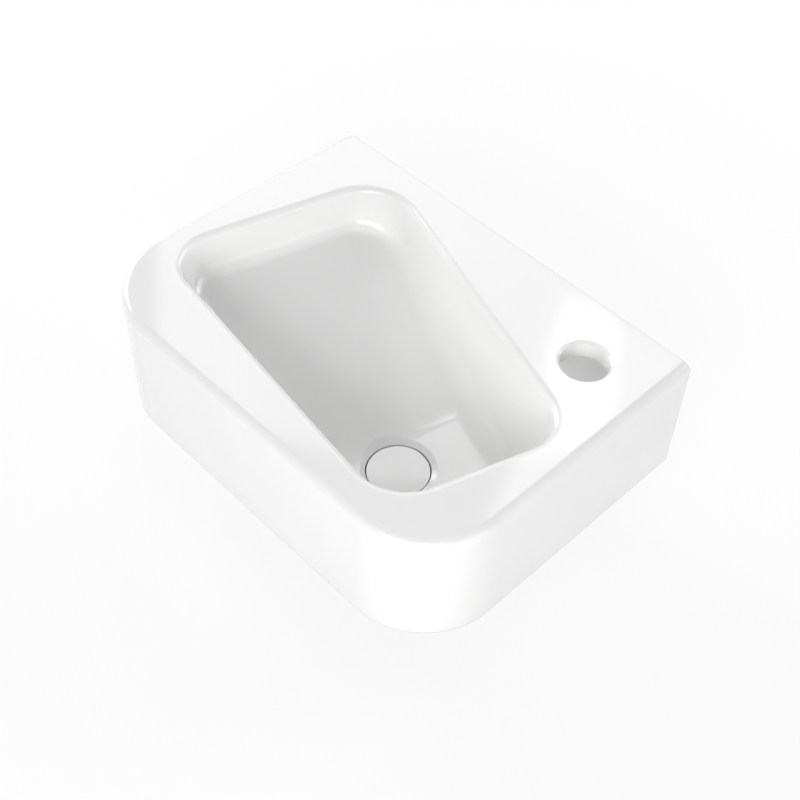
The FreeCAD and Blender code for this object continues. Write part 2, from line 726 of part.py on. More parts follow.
def make_spring():
    """The compression spring: six-sided sections of wire, set along a helix and skinned."""
    wire, radius = number("spring_wire") / 2, (number("spring_diameter") - number("spring_wire")) / 2
    rings = []
    for step in range(SPRING_TURNS * SPRING_STEPS + 1):
        turn = step / SPRING_STEPS
        angle, level = 2 * math.pi * turn, spring_path(turn)
        section = [(radius + wire * math.cos(side * math.pi / 3), level + wire * math.sin(side * math.pi / 3))
                   for side in range(6)]
        rings.append([Vector(out * math.cos(angle), out * math.sin(angle), up) for out, up in section])
    faces = [flat_face(rings[0][::-1]), flat_face(rings[-1])]
    for low, high in zip(rings, rings[1:]):
        for side in range(6):
            after = (side + 1) % 6
            faces.append(flat_face((low[side], low[after], high[after])))
            faces.append(flat_face((low[side], high[after], high[side])))
    spring = doc.addObject("Part::Feature", "cartridge_spring")
    spring.Shape = Part.Solid(Part.Shell(faces))
    place(spring, "drain_x", "drain_y", "chamber_foot + thread_clearance + spring_wire / 2")
    return spring


def flat_face(points):
    """A flat face with straight sides through the given points."""
    return Part.Face(Part.makePolygon([*points, points[0]]))


def make_waste_body():
    """The chromed outlet: flange, seat, tail with a groove between its two threads, cross and hub."""
    flange, tail, bore = "flange_diameter / 2", "tail_diameter / 2", "tail_bore / 2"
    seat, seat_foot = "seat_bore / 2", "seat_level - seat_thickness"
    groove = f"{tail} - thread_groove_depth"
    body = turned("waste_body", (
        (bore, "tail_foot"), (tail, "tail_foot"), (tail, "groove_foot"), (groove, "groove_foot"),
        (groove, "groove_top"), (tail, "groove_top"), (tail, "flange_foot"), (flange, "flange_foot"),
        (flange, "flange_top"), (bore, "flange_top"), (bore, "seat_level"), (seat, "seat_level"),
        (seat, seat_foot), (bore, f"{seat_foot} - ({bore} - {seat})")))
    sketch = new_sketch(body, "cross_arm_outline", "YZ_Plane", "spigot_diameter / 2")
    draw_outline(sketch, (
        ("-cross_thickness / 2", "hub_foot"), ("cross_thickness / 2", "hub_foot"),
        ("cross_thickness / 2", "hub_top"), ("-cross_thickness / 2", "hub_top")))
    arm = pad(body, sketch, "cross_arm", Length="(tail_bore + tail_diameter) / 4 - spigot_diameter / 2")
    doc.recompute()
    spread(body, arm, "cross_arms", 4)
    turn(body, "hub", "Revolution", (
        ("spigot_diameter / 2", "hub_foot"), ("hub_diameter / 2", "hub_foot"),
        ("hub_diameter / 2", "hub_top"), ("spigot_diameter / 2", "hub_top")))
    return body


def make_underside_seal():
    """The tapered rubber washer under the ceramic."""
    bore = "tail_diameter / 2 + loose_clearance"
    return turned("underside_seal", (
        (bore, "underside_seal_foot"), ("underside_seal_foot_diameter / 2", "underside_seal_foot"),
        ("underside_seal_diameter / 2", "boss_level"), (bore, "boss_level")))


basin = make_basin()
tail_bore = "tail_diameter + 2 * loose_clearance"
nodes = [
    basin,
    at_drain(make_cover()),
    at_drain(ring_disc("cover_pad", "pad_diameter", "pad_foot", "cover_foot")),
    at_drain(make_carrier()),
    at_drain(ring("plug_seal", "plug_seal_bore + 2 * thread_clearance", "plug_seal_diameter",
                  "seat_level", "head_foot")),
    at_drain(make_rod()),
    at_drain(hexagon("height_locknut", "locknut_across_flats", "locknut_foot", "locknut_height",
                     "rod_thread_diameter + 2 * thread_clearance")),
    at_drain(make_cap()),
    at_drain(ring("rod_wiper", "rod_shank_diameter + 2 * running_clearance", "wiper_diameter",
                  "cap_top - wiper_thickness", "cap_top")),
    at_drain(make_sleeve()),
    at_drain(make_cam()),
    at_drain(make_rotor()),
    make_spring(),
    at_drain(make_waste_body()),
    at_drain(ring("flange_seal", tail_bore, "flange_diameter", "recess_level", "flange_foot")),
    at_drain(make_underside_seal()),
    at_drain(ring("thrust_washer", tail_bore, "thrust_washer_diameter", "thrust_foot", "underside_seal_foot")),
    at_drain(hexagon("backnut", "backnut_across_flats", "backnut_foot", "backnut_height",
                     "tail_diameter + 2 * thread_clearance")),
]
doc.recompute()
broken = [item.Label for item in doc.Objects if "Invalid" in item.State or "Error" in item.State]
broken += [node.Label for node in nodes if node.Shape.isNull() or not node.Shape.isValid()]
if broken:
    raise RuntimeError(f"these objects failed: {broken}")
os.makedirs("parts", exist_ok=True)
for node in nodes:
    node.Shape.exportStep(os.path.join("parts", f"{node.Label}.step"))
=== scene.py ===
import math

import bmesh
import bpy
import numpy as np
from bpy.props import FloatProperty, FloatVectorProperty, PointerProperty
from mathutils import Matrix, Vector


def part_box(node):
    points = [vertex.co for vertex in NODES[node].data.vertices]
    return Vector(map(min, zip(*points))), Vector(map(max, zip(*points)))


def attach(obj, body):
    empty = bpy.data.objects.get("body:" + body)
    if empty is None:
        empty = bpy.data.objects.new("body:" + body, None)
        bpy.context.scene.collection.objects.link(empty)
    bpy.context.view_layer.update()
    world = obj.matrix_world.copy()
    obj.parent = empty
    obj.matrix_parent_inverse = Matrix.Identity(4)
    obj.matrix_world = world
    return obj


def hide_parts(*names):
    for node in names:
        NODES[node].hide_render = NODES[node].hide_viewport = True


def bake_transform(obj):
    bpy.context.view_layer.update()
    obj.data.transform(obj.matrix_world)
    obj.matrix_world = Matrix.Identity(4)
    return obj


bl_info = {
    "name": "Corner basin",
    "version": (1, 0, 0),
    "blender": (4, 5, 0),
    "location": "3D View > Sidebar > Basin",
    "description": "Glazes a compact hand basin and details its push-open waste",
    "category": "Object",
}

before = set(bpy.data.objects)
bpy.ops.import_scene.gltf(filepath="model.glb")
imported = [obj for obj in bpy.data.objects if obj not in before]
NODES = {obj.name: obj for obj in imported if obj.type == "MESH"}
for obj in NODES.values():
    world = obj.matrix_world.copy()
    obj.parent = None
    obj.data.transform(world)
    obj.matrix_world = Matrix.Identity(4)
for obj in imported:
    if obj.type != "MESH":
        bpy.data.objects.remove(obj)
MM = 0.001
WELD_DISTANCE = 1e-6  # points closer than this, in metres, are one point
WHITE = (1.0, 1.0, 1.0, 1.0)

# Sizes shared with the solids, in millimetres in the row frame: radii, and levels from the origin
DRAIN = (57.8, -163.2)  # the waste's upright axis
FLANGE, TAIL, BORE, SEAT = 22.8, 20.95, 18.6, 16.0
FLANGE_THICKNESS = 2.6
SEAT_TOP, SEAT_FOOT, BELOW_SEAT = -46.2, -48.4, -51.0
GROOVE_LEVEL, GROOVE_DEPTH = -75.6, 0.9
GROOVE_SIDE = (1.9, 1.4)  # how far from its level the groove starts and is at full depth
HUB_BORE, HUB_RADIUS, HUB_FOOT, HUB_TOP = 8.3, 10.5, -95.0, -86.0
SPRING_RADIUS, WIRE_RADIUS, SPRING_TURNS = 4.85, 0.45, 6.0

# Where the glaze was wiped off, in metres: it ends between these levels and these depths
WIPED_FOOT = (-0.0590, -0.0593)
WIPED_WALL_FACE = (-0.00045, -0.0002)


# Shader building

class Value:
    """A socket of a node tree, with arithmetic that adds Math nodes."""

    def __init__(self, nodes, socket):
        self.nodes = nodes
        self.socket = socket

    def math(self, operation, *operands):
        """The value of a Math node that takes this value and the operands in order."""
        inputs = dict(enumerate((self, *operands)))
        return self.nodes.add("ShaderNodeMath", {"operation": operation}, inputs)

    def __add__(self, other):
        return self.math("ADD", other)

    __radd__ = __add__

    def __mul__(self, other):
        return self.math("MULTIPLY", other)

    __rmul__ = __mul__

    def __sub__(self, other):
        return self.math("SUBTRACT", other)

    def __rsub__(self, other):
        return self.nodes.add("ShaderNodeMath", {"operation": "SUBTRACT"}, {0: other, 1: self})


class Nodes:
    """The node tree of a material or a world, started empty."""

    def __init__(self, owner, output):
        owner.use_nodes = True
        self.tree = owner.node_tree
        self.tree.nodes.clear()
        self.output = output

    def add(self, kind, settings=None, inputs=None, output=0):
        """One node: its settings first, then the values or links of its sockets."""
        node = self.tree.nodes.new(kind)
        for name, value in (settings or {}).items():
            setattr(node, name, value)
        for name, value in (inputs or {}).items():
            if isinstance(value, Value):
                self.tree.links.new(value.socket, node.inputs[name])
            else:
                node.inputs[name].default_value = value
        return Value(self, node.outputs[output]) if node.outputs else None

    def show(self, surface):
        """Put a shader on the surface."""
        self.add(self.output, {}, {"Surface": surface})

    def looked_at(self):
        """1 where the camera looks straight, by a mirror or through glass, and 0 for light."""
        straight, mirrored, through = (self.add("ShaderNodeLightPath", output=f"Is {ray} Ray")
                                       for ray in ("Camera", "Glossy", "Transmission"))
        return straight.math("MAXIMUM", mirrored).math("MAXIMUM", through)

    def coordinates(self):
        """Object coordinates, in metres in the row frame."""
        return self.add("ShaderNodeTexCoord", output="Object")

    def axis(self, name):
        """One component of the object coordinates."""
        return self.add("ShaderNodeSeparateXYZ", {}, {0: self.coordinates()}, output=name)

    def distance(self, middle=(0.0, 0.0)):
        """Level distance from an upright axis through a point, in metres."""
        across, along = self.axis("X") - middle[0], self.axis("Y") - middle[1]
        return (across * across + along * along).math("SQRT")

    def ramp(self, value, low, high, start=0.0, end=1.0):
        """A smooth step of a value: the start up to low, the end from high."""
        return self.add("ShaderNodeMapRange", {"interpolation_type": "SMOOTHSTEP"}, {
            "Value": value, "From Min": low, "From Max": high, "To Min": start, "To Max": end})


class Finish(Nodes):
    """A material with one Principled shader, whose constants are set on its own sockets."""

    def __init__(self, name, constants=None):
        self.material = bpy.data.materials.new(name)
        super().__init__(self.material, "ShaderNodeOutputMaterial")
        self.shader = self.add("ShaderNodeBsdfPrincipled", {}, constants)
        self.show(self.shader)

    def drive(self, socket, value):
        """Feed one of the shader's sockets from a computed value."""
        self.tree.links.new(value.socket, self.shader.socket.node.inputs[socket])

    def noise(self, size, detail=3.0, roughness=0.5, vector=None):
        """Noise whose features are about one size wide, from 0 to 1."""
        return self.add("ShaderNodeTexNoise", {}, {
            "Vector": vector or self.coordinates(), "Scale": 1.0 / size,
            "Detail": detail, "Roughness": roughness})

    def pores(self, size):
        """Round cells about one size wide: 0 at a cell's middle, rising to its border."""
        return self.add("ShaderNodeTexVoronoi", {}, {
            "Vector": self.coordinates(), "Scale": 1.0 / size})

    def turning(self, width):
        """Fine rings of a lathe tool round the drain: noise of the distance from it and height."""
        radius = self.distance((DRAIN[0] * MM, DRAIN[1] * MM))
        place = self.add("ShaderNodeCombineXYZ", {}, {0: radius, 1: self.axis("Z")})
        return self.noise(width, detail=2.0, roughness=0.6, vector=place)

    def blend(self, factor, first, second):
        """A mix of two colours, plain or computed."""
        first, second = (colour if isinstance(colour, Value) else (*colour, 1.0)
                         for colour in (first, second))
        return self.add("ShaderNodeMix", {"data_type": "RGBA"},
                        {"Factor": factor, "A": first, "B": second}, output="Result")

    def bump(self, height, distance):
        """Feed the normal from a height in units of a distance."""
        self.drive("Normal", self.add("ShaderNodeBump", {}, {
            "Strength": 1.0, "Distance": distance, "Height": height}))


def dress(obj, finish):
    """Give a piece one material."""
    obj.data.materials.clear()
    obj.data.materials.append(finish.material)


def smooth_solid(node):
    """Join a CAD node's loose triangles and shade its rounds smoothly, keeping its flats flat."""
    obj = NODES[node]
    obj.data.polygons.foreach_set("use_smooth", np.ones(len(obj.data.polygons), bool))
    weld = obj.modifiers.new("weld", "WELD")
    weld.merge_threshold = WELD_DISTANCE
    crease = obj.modifiers.new("crease", "EDGE_SPLIT")
    crease.split_angle = math.radians(28)
    crease.use_edge_sharp = False
    even_normals(obj)
    return obj


def even_normals(obj):
    """Let the large faces set the normals where they meet narrow rounds."""
    normals = obj.modifiers.new("normals", "WEIGHTED_NORMAL")
    normals.mode = "FACE_AREA_WITH_ANGLE"
    normals.weight = 100
    normals.keep_sharp = True


# Surfaces worked out as grids of points, in millimetres

def rounded(corners, steps=5):
    """Points of an outline whose corners are (radius, height, rounding): each corner is the middle
    point of a quadratic curve that starts and ends a rounding away from it on its two sides."""
    corner = np.array(corners, float)
    place, reach = corner[:, :2], corner[:, 2:]
    before, after = np.roll(place, 1, axis=0) - place, np.roll(place, -1, axis=0) - place
    first = place + reach * before / np.linalg.norm(before, axis=1, keepdims=True)
    last = place + reach * after / np.linalg.norm(after, axis=1, keepdims=True)
    t = np.linspace(0, 1, steps)[None, :, None]
    curve = ((1 - t) ** 2 * first[:, None] + 2 * t * (1 - t) * place[:, None]
             + t ** 2 * last[:, None])
    return curve.reshape(-1, 2)


def angles(sides):
    """Directions spread evenly round the axis."""
    return np.linspace(0, 2 * np.pi, sides, endpoint=False)


def around_drain(radius, height, way):
    """Points round the drain's axis: a radius out from it in a direction, at a height."""
    across, along = DRAIN[0] + radius * np.cos(way), DRAIN[1] + radius * np.sin(way)
    return np.stack(np.broadcast_arrays(across, along, height), axis=-1)


def turned(outline, sides):
    """A grid swept round the drain: the outline's (radius, height) points by the directions."""
    return around_drain(outline[:, :1], outline[:, 1:], angles(sides))


def along_path(section, stations):
    """A grid of one (side, up) section at every (place, side way, up way) station, closed to a
    point at both ends."""
    place, side, up = (np.asarray(part)[:, None] for part in stations)
    rings = place + side * section[:, :1] + up * section[:, 1:]
    start, end = (np.repeat(ring.mean(axis=0)[None, None], len(section), axis=1)
                  for ring in (rings[0], rings[-1]))
    return np.concatenate((start, rings, end))


def build(name, grids, node, body=None):
    """One closed piece of several grids, (points, closes along, closes across), that stands for
    a CAD node. Each four neighbouring points of a grid are a face."""
    points, quads, base = [], [], 0
    for grid, closes_along, closes_across in grids:
        index = base + np.arange(grid.shape[0] * grid.shape[1]).reshape(grid.shape[:2])
        index = np.concatenate((index, index[:1])) if closes_along else index
        index = np.concatenate((index, index[:, :1]), axis=1) if closes_across else index
        corners = (index[:-1, :-1], index[:-1, 1:], index[1:, 1:], index[1:, :-1])
        quads.append(np.stack(corners, -1).reshape(-1, 4))
        points.append(grid.reshape(-1, 3))
        base += grid.shape[0] * grid.shape[1]
    mesh = bpy.data.meshes.new(name)
    mesh.from_pydata((np.concatenate(points) * MM).tolist(), [], np.concatenate(quads).tolist())
    merged = bmesh.new()
    merged.from_mesh(mesh)
    bmesh.ops.remove_doubles(merged, verts=merged.verts, dist=WELD_DISTANCE)
    bmesh.ops.recalc_face_normals(merged, faces=merged.faces)
    merged.to_mesh(mesh)
    merged.free()
    mesh.polygons.foreach_set("use_smooth", np.ones(len(mesh.polygons), bool))
    obj = bpy.data.objects.new(name, mesh)
    bpy.context.scene.collection.objects.link(obj)
    if body:
        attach(obj, body)
    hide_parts(node)
    return obj


# Sizes and colours that a user may change

class GlazeSettings(bpy.types.PropertyGroup):
    """The white glaze on basin and cover."""

    tint: FloatVectorProperty(
        name="Glaze", description="Colour of the glaze", subtype="COLOR",
        default=(0.86, 0.86, 0.855), min=0.0, max=1.0)
    biscuit: FloatVectorProperty(
        name="Biscuit", description="Colour of the unglazed ceramic", subtype="COLOR",
        default=(0.72, 0.70, 0.66), min=0.0, max=1.0)
    gloss: FloatProperty(
        name="Roughness", description="Roughness of the glaze",
        default=0.07, min=0.0, max=1.0)
    ripple: FloatProperty(
        name="Ripple", description="Height of the slow waves in the glaze",
        default=0.00005, min=0.0, max=0.001, unit="LENGTH", precision=6)
    peel: FloatProperty(
        name="Peel", description="Height of the fine unevenness in the glaze",
        default=0.0000008, min=0.0, max=0.0001, unit="LENGTH", precision=7)


class WasteSettings(bpy.types.PropertyGroup):
    """The cover, the outlet and the plug's working parts."""

    cover_tint: FloatVectorProperty(
        name="Cover", description="Colour of the cover's glaze", subtype="COLOR",
        default=(0.90, 0.90, 0.895), min=0.0, max=1.0)
    dome: FloatProperty(
        name="Cover dome", description="How far the cover's edge lies below its middle",
        default=0.0003, min=0.0, max=0.001, unit="LENGTH", precision=5)
    cover_round: FloatProperty(
        name="Cover edge", description="Rounding of the cover's upper edge",
        default=0.0009, min=0.0002, max=0.003, unit="LENGTH", precision=5)
    thread_pitch: FloatProperty(
        name="Thread pitch", description="Distance between the tail's threads",
        default=0.002309, min=0.001, max=0.004, unit="LENGTH", precision=6)
    thread_depth: FloatProperty(
        name="Thread depth", description="Depth of the tail's threads",
        default=0.00085, min=0.0, max=0.0012, unit="LENGTH", precision=5)
    chrome: FloatVectorProperty(
        name="Chrome", description="Colour of the chromed brass", subtype="COLOR",
        default=(0.80, 0.81, 0.83), min=0.0, max=1.0)
    brass: FloatVectorProperty(
        name="Brass", description="Colour of the turned brass", subtype="COLOR",
        default=(0.72, 0.55, 0.28), min=0.0, max=1.0)
    steel: FloatVectorProperty(
        name="Steel", description="Colour of the stainless steel", subtype="COLOR",
        default=(0.60, 0.60, 0.59), min=0.0, max=1.0)
    rubber: FloatVectorProperty(
        name="Rubber", description="Colour of the seals", subtype="COLOR",
        default=(0.020, 0.020, 0.021), min=0.0, max=1.0)
    foam: FloatVectorProperty(
        name="Foam", description="Colour of the pad under the cover", subtype="COLOR",
        default=(0.09, 0.09, 0.09), min=0.0, max=1.0)
    acetal: FloatVectorProperty(
        name="Acetal", description="Colour of the white moulded parts", subtype="COLOR",
        default=(0.80, 0.80, 0.77), min=0.0, max=1.0)
    rotor: FloatVectorProperty(
        name="Rotor", description="Colour of the index rotor", subtype="COLOR",
        default=(0.33, 0.36, 0.40), min=0.0, max=1.0)


class StageSettings(bpy.types.PropertyGroup):
    """The floor, the lamps and the camera."""

    floor_level: FloatProperty(
        name="Floor", description="Height of the floor", default=-0.1088, unit="LENGTH")
    sky: FloatProperty(
        name="Surround", description="Light from the white surround", default=0.02, min=0.0)
    lamp: FloatProperty(
        name="Lamps", description="Share of the lamps' full power", default=0.98, min=0.0)
    lens: FloatProperty(
        name="Lens", description="Focal length of the camera in millimetres", default=60.03)
    azimuth: FloatProperty(
        name="Azimuth", description="Direction of the camera round the basin",
        default=math.radians(44.353), subtype="ANGLE")
    elevation: FloatProperty(
        name="Elevation", description="Height angle of the camera",
        default=math.radians(49.067), subtype="ANGLE")
    roll: FloatProperty(
        name="Roll", description="Turn of the camera about its view",
        default=math.radians(2.076), subtype="ANGLE")
    camera_place: FloatVectorProperty(
        name="Camera", description="Place of the camera", subtype="TRANSLATION",
        default=(0.45619, -0.57157, 0.69666), precision=5)


# Finishes

def darker(colour, share):
    """A colour at a share of its brightness."""
    return tuple(part * share for part in colour)


def glaze(name, tint, settings):
    """Glossy white glaze with slow waves and a fine peel. The biscuit shows where the foot and the
    wall face were wiped bare, up to an edge that strays a little."""
    finish = Finish(name, {"IOR": 1.52})
    stray = (finish.noise(0.009, detail=2.0) - 0.5) * 0.0005
    foot = finish.ramp(finish.axis("Z") + stray, *WIPED_FOOT)
    wall_face = finish.ramp(finish.axis("Y") + stray * 0.4, *WIPED_WALL_FACE)
    bare = foot.math("MAXIMUM", wall_face)
    cloud = finish.ramp(finish.noise(0.06, detail=2.0), 0.3, 0.7)
    white = finish.blend(cloud, tint, darker(tint, 0.985))
    grain = finish.noise(0.0006, roughness=0.7)
    biscuit = finish.blend(grain, settings.biscuit, darker(settings.biscuit, 0.85))
    finish.drive("Base Color", finish.blend(bare, white, biscuit))
    finish.drive("Roughness", bare * 0.5 + cloud * 0.02 + settings.gloss)
    wave = finish.noise(0.035, detail=1.0, roughness=0.4) * settings.ripple
    peel = finish.noise(0.0024, detail=1.0, roughness=0.4) * settings.peel * (1 - bare)
    finish.bump(wave + peel + grain * bare * 0.00004, 1.0)
    return finish


def plated(name, colour):
    """Bright plating over turned brass: faint tool rings below it and dried drops on it."""
    finish = Finish(name, {"Metallic": 1.0})
    rings = finish.turning(0.0005)
    drops = finish.ramp(finish.noise(0.004, detail=2.0, roughness=0.4), 0.56, 0.66)
    finish.drive("Base Color", finish.blend(drops, colour, darker(colour, 0.9)))
    finish.drive("Roughness", drops * 0.16 + rings * 0.05 + 0.05)
    finish.bump(rings, 0.000004)
    return finish


def bare_metal(name, colour, roughness, width):
    """Turned metal without plating: tool rings of a width and a patchy, slightly darker skin."""
    finish = Finish(name, {"Metallic": 1.0})
    rings = finish.turning(width)
    skin = finish.ramp(finish.noise(0.006, detail=4.0, roughness=0.6), 0.35, 0.7)
    finish.drive("Base Color", finish.blend(skin, colour, darker(colour, 0.82)))
    finish.drive("Roughness", rings * 0.16 + skin * 0.08 + roughness)
    finish.bump(rings, 0.00001)
    return finish


def moulded(name, colour, roughness, width, depth):
    """Moulded plastic or rubber: a cloudy tone, and the mould's fine grain of a width and depth."""
    finish = Finish(name)
    cloud = finish.noise(0.008)
    grain = finish.noise(width, detail=2.0, roughness=0.6)
    tone = finish.ramp(cloud, 0.35, 0.7)
    finish.drive("Base Color", finish.blend(tone, colour, darker(colour, 0.88)))
    finish.drive("Roughness", cloud * 0.12 + grain * 0.08 + roughness)
    finish.bump(grain, depth)
    return finish


def foamed(name, colour):
    """Closed-cell foam: small round pores, with painted shade that darkens their bottoms."""
    finish = Finish(name, {"Roughness": 0.92})
    pores = finish.pores(0.0007)
    # painted shade in the pores: 0 at a pore's middle, where the colour is darkest, up to 1 at its
    # rim
    wall = finish.ramp(pores, 0.1, 0.6)
    finish.drive("Base Color", finish.blend(wall, darker(colour, 0.5), colour))
    finish.bump(pores, 0.0001)
    return finish


# Pieces

def box_levels(node):
    """The lowest and highest level of a CAD node, in millimetres."""
    low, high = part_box(node)
    return low[2] / MM, high[2] / MM


def box_radius(node):
    """Half the width of a CAD node, in millimetres."""
    low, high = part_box(node)
    return (high[0] - low[0]) / 2 / MM


def smooth(value, start, end):
    """The cubic step of a value: 0 up to the start, 1 from the end."""
    t = np.clip((value - start) / (end - start), 0, 1)
    return t * t * (3 - 2 * t)


class BASIN_OT_casting(bpy.types.Operator):
    """Glaze the one-piece ceramic casting"""

    bl_idname = "basin.casting"
    bl_label = "Ceramic casting"

    def execute(self, context):
        settings = context.scene.basin_glaze
        dress(smooth_solid("basin"), glaze("white_glaze", settings.tint, settings))
        return {"FINISHED"}


class BASIN_OT_cover(bpy.types.Operator):
    """Turn the glazed disc that lies flush over the waste"""

    bl_idname = "basin.cover"
    bl_label = "Waste cover"

    def execute(self, context):
        settings = context.scene.basin_waste
        outline = cover_outline(settings.dome / MM, settings.cover_round / MM)
        cover = build("cover_disc", [(turned(outline, 160), False, True)],
                      "plug_cover", "plug")
        even_normals(cover)
        dress(cover, glaze("cover_glaze", settings.cover_tint, context.scene.basin_glaze))
        return {"FINISHED"}


def cover_outline(dome, edge, steps=9):
    """The cover in section, from the middle of the underside round the edge to the middle of the
    top. The top falls outwards by the square of the radius, by the dome's height in all."""
    low, high = box_levels("plug_cover")
    radius = box_radius("plug_cover")
    rim = rounded(((0, low, 0), (radius, low, 0.4), (radius, high - dome, edge),
                   (0, high - dome, 0)), steps)[:-steps]
    out = np.linspace(rim[-1, 0], 0, 24)
    crown = np.stack((out, high - dome * (out / rim[-1, 0]) ** 2), axis=-1)
    return np.concatenate((rim, crown[1:]))


class BASIN_OT_outlet(bpy.types.Operator):
    """Turn the outlet's flange and tail, cut its thread and set the cross and hub in it"""

    bl_idname = "basin.outlet"
    bl_label = "Outlet"

    def execute(self, context):
        settings = context.scene.basin_waste
        foot, top = box_levels("waste_body")
        sides, chamfer = 120, 0.5
        under_flange = top - FLANGE_THICKNESS
        thread_foot, thread_top = foot + chamfer, under_flange - 1.0
        thread = threaded(settings, thread_foot, thread_top, sides)
        shell = rounded((
            (TAIL, thread_top, 0), (TAIL, under_flange, 0.25), (FLANGE, under_flange, 0.5),
            (FLANGE, top, 0.9), (BORE, top, 0.6), (BORE, SEAT_TOP, 0.15), (SEAT, SEAT_TOP, 0.35),
            (SEAT, SEAT_FOOT, 0.35), (BORE, BELOW_SEAT, 0.5), (BORE, foot, 0.5),
            (TAIL - chamfer, foot, 0.1), (TAIL, thread_foot, 0)))
        hub = rounded(((HUB_BORE, HUB_FOOT, 0.4), (HUB_RADIUS, HUB_FOOT, 0.6),
                       (HUB_RADIUS, HUB_TOP, 0.6), (HUB_BORE, HUB_TOP, 0.4)))
        grids = [(thread, False, True), (turned(shell, sides), False, True),
                 (turned(hub, 96), True, True)]
        grids += [(cross_arm(quarter * np.pi / 2), False, True) for quarter in range(4)]
        outlet = build("outlet_tube", grids, "waste_body", "basin_body")
        even_normals(outlet)
        dress(outlet, plated("chrome_plate", settings.chrome))
        return {"FINISHED"}


def threaded(settings, low, high, sides):
    """A grid of the tail's outside: the radius falls by a cosine wave of height over pitch less the
    share of a turn, so the ridges climb one pitch a turn. They fade out by a cubic step over a
    pitch at both ends and at the plain groove."""
    pitch, depth = settings.thread_pitch / MM, settings.thread_depth / MM
    rows_per_pitch = 9
    height = np.linspace(low, high, int((high - low) / pitch * rows_per_pitch))[:, None]
    way = angles(sides)[None, :]
    groove = smooth(np.abs(height - GROOVE_LEVEL), *GROOVE_SIDE)
    ends = smooth(height, low, low + pitch) * smooth(height, high, high - pitch)
    wave = 0.5 - 0.5 * np.cos(2 * np.pi * (height / pitch - way / (2 * np.pi)))
    radius = TAIL - depth * wave * ends * (1 - groove) - GROOVE_DEPTH * groove
    return around_drain(radius, height, way)


def cross_arm(way):
    """A grid of one arm of the cross: a rounded upright section carried straight out, from inside
    the hub's wall to inside the tail's wall."""
    half_width, half_height, edge = 1.2, 4.5, 0.5
    section = rounded(((-half_width, -half_height, edge), (half_width, -half_height, edge),
                       (half_width, half_height, edge), (-half_width, half_height, edge)), 4)
    reach = np.array((HUB_BORE + 0.5, BORE + 0.8))
    place = around_drain(reach, (HUB_FOOT + HUB_TOP) / 2, way)
    side, up = (-np.sin(way), np.cos(way), 0.0), (0.0, 0.0, 1.0)
    return along_path(section, (place, np.tile(side, (2, 1)), np.tile(up, (2, 1))))


class BASIN_OT_spring(bpy.types.Operator):
    """Wind the round wire of the plug's spring"""

    bl_idname = "basin.spring"
    bl_label = "Spring"

    def execute(self, context):
        low, high = box_levels("cartridge_spring")
        spring = build("coil_spring", [(wound(low, high), False, True)],
                       "cartridge_spring")
        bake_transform(spring)
        steel = context.scene.basin_waste.steel
        dress(spring, bare_metal("spring_wire", steel, 0.2, 0.0003))
        return {"FINISHED"}


def wound(low, high, inset=0.39, end_rise=1.0):
    """A grid of the spring's wire: a round section along a helix whose first and last turns rise
    by less than the others. The wire's middle starts and ends an inset inside the two levels."""
    turn = np.linspace(0, SPRING_TURNS, int(SPRING_TURNS) * 40 + 1)
    first, last = low + inset, high - inset
    level = np.interp(turn, (0, 1, SPRING_TURNS - 1, SPRING_TURNS),
                      (first, first + end_rise, last - end_rise, last))
    way = 2 * np.pi * turn
    outward = np.stack((np.cos(way), np.sin(way), 0 * way), axis=-1)
    ring = angles(12)
    section = WIRE_RADIUS * np.stack((np.cos(ring), np.sin(ring)), axis=-1)
    place = around_drain(SPRING_RADIUS, level, way)
    return along_path(section, (place, outward, np.tile((0.0, 0.0, 1.0), (len(turn), 1))))


class BASIN_OT_seals(bpy.types.Operator):
    """Mould the plug's lipped ring and the tapered washer under the ceramic"""

    bl_idname = "basin.seals"
    bl_label = "Seals"

    def execute(self, context):
        rubber = moulded("seal_rubber", context.scene.basin_waste.rubber, 0.5, 0.0005, 0.00002)
        for name, outline, body, node in (
                ("plug_lip_ring", lipped_outline, "plug", "plug_seal"),
                ("tapered_washer", tapered_outline, "basin_body", "underside_seal")):
            ring = turned(outline(*box_levels(node)), 112)
            seal = build(name, [(ring, True, True)], node, body)
            even_normals(seal)
            dress(seal, rubber)
        for node in ("rod_wiper", "flange_seal"):
            dress(smooth_solid(node), rubber)
        return {"FINISHED"}


def lipped_outline(low, high):
    """The plug's ring in section: a lip at the foot, a waist and a rounded shoulder."""
    bore, lip, waist, shoulder = 13.55, 18.2, 17.7, 18.1
    return rounded((
        (bore, low, 0.2), (lip - 0.9, low, 0.5), (lip, low + 1.2, 0.35), (waist, low + 1.7, 0.3),
        (shoulder, high - 0.5, 0.3), (shoulder - 0.5, high, 0.3), (bore, high, 0.2)))


def tapered_outline(low, high):
    """The washer in section: a straight rim at the top that narrows towards the slip ring."""
    bore, foot, rim = 21.25, 28.0, 31.0
    return rounded((
        (bore, low, 0.3), (foot, low, 0.9), (foot + 1.6, low + 2.1, 0.5), (rim, high - 1.0, 0.5),
        (rim, high, 0.4), (bore, high, 0.3)))


class BASIN_OT_hardware(bpy.types.Operator):
    """Finish the nuts, the rod, the carrier, the pad and the moulded parts of the latch"""

    bl_idname = "basin.hardware"
    bl_label = "Waste hardware"

    def execute(self, context):
        settings = context.scene.basin_waste
        acetal_grain = (0.0008, 0.000006)
        for finish, nodes in (
                (plated("chromed_nut", settings.chrome), ("backnut",)),
                (bare_metal("turned_brass", settings.brass, 0.26, 0.0006), ("plug_carrier",)),
                (bare_metal("turned_steel", settings.steel, 0.22, 0.0005),
                 ("plunger_rod", "height_locknut")),
                (moulded("white_acetal", settings.acetal, 0.32, *acetal_grain),
                 ("cartridge_sleeve", "cartridge_cap", "push_cam", "thrust_washer")),
                (moulded("grey_acetal", settings.rotor, 0.34, *acetal_grain), ("index_rotor",)),
                (foamed("pad_foam", settings.foam), ("cover_pad",))):
            for node in nodes:
                dress(smooth_solid(node), finish)
        return {"FINISHED"}


